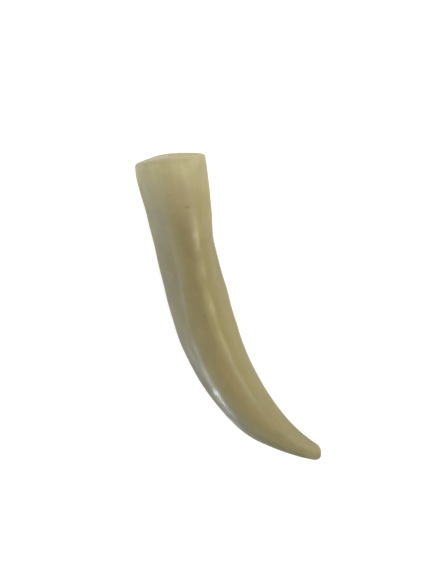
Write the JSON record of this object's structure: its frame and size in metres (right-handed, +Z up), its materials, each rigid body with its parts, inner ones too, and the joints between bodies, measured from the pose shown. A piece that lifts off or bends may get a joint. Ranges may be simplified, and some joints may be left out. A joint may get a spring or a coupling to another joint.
{
  "type": "boar tusk",
  "caption": "Curved boar tusk, one solid tooth with a soft three-sided section, sawn off flat near the root and worn to a blunt tip. It lies on its side.",
  "frame": {"origin": "under the middle of the tusk's box, on the surface that it lies on", "axes": "+X from the root to the tip along the chord, +Y to the hollow side of the bend, +Z up from the surface"},
  "size_m": [0.1194, 0.0364, 0.0178],
  "materials": {
    "tusk": "satin"
  },
  "bodies": {
    "root": {"tusk": "tusk"}
  },
  "joints": []
}
